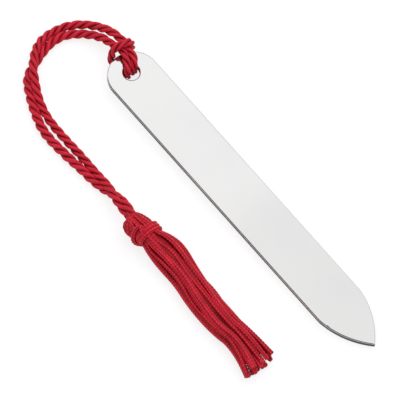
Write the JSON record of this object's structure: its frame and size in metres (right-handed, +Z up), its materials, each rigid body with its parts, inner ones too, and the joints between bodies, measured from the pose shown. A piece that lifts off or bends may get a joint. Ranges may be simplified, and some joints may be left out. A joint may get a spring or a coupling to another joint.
{
  "type": "bookmark",
  "caption": "Flat polished metal bookmark with a pointed tip and a round end, and a twisted cord loop hitched through its hole that ends in a bound yarn tassel.",
  "frame": {"origin": "under the middle of the blade's box, on the surface that the bookmark lies on", "axes": "+Y along the blade from its tip to its holed end, +X across the blade, +Z up"},
  "size_m": [0.0462, 0.1471, 0.0101],
  "materials": {
    "polished_metal": "mirror polished plate with fine handling scratches",
    "red_cord": "satin twisted rayon",
    "red_yarn": "satin chainette yarn",
    "red_binding": "satin yarn"
  },
  "bodies": {
    "blade": {"blade": "polished_metal"},
    "hitch": {"cord_hitch": "red_cord"},
    "cord": {"cord_leg_right": "red_cord", "cord_leg_left": "red_cord"},
    "tassel": {"cord_knot": "red_cord", "neck_binding": "red_binding", "tassel_strand_01": "red_yarn", "tassel_strand_02": "red_yarn", "tassel_strand_03": "red_yarn", "tassel_strand_04": "red_yarn", "tassel_strand_05": "red_yarn", "tassel_strand_06": "red_yarn", "tassel_strand_07": "red_yarn", "tassel_strand_08": "red_yarn", "tassel_strand_09": "red_yarn", "tassel_strand_10": "red_yarn", "tassel_strand_11": "red_yarn", "tassel_strand_12": "red_yarn", "tassel_strand_13": "red_yarn", "tassel_strand_14": "red_yarn", "tassel_strand_15": "red_yarn", "tassel_strand_16": "red_yarn", "tassel_strand_17": "red_yarn", "tassel_strand_18": "red_yarn", "tassel_strand_19": "red_yarn", "tassel_strand_20": "red_yarn", "tassel_strand_21": "red_yarn", "tassel_strand_22": "red_yarn", "tassel_strand_23": "red_yarn", "tassel_strand_24": "red_yarn"}
  },
  "joints": [
    {"name": "hitch_swivel", "type": "hinge", "parent": "blade", "child": "hitch", "pos_m": [0, 0.05589, 0.00352], "axis": [0, -0.0203, 0.9998], "range_deg": [-40, 4]},
    {"name": "cord_flip", "type": "hinge", "parent": "hitch", "child": "cord", "pos_m": [0.00289, 0.06763, 0.00613], "axis": [-0.1392, 0.9901, 0.0201], "range_deg": [0, 170]},
    {"name": "tassel_swing", "type": "hinge", "parent": "cord", "child": "tassel", "pos_m": [-0.0314, 0.01889, 0.00505], "axis": [0, 0, 1], "range_deg": [-30, 6]}
  ]
}
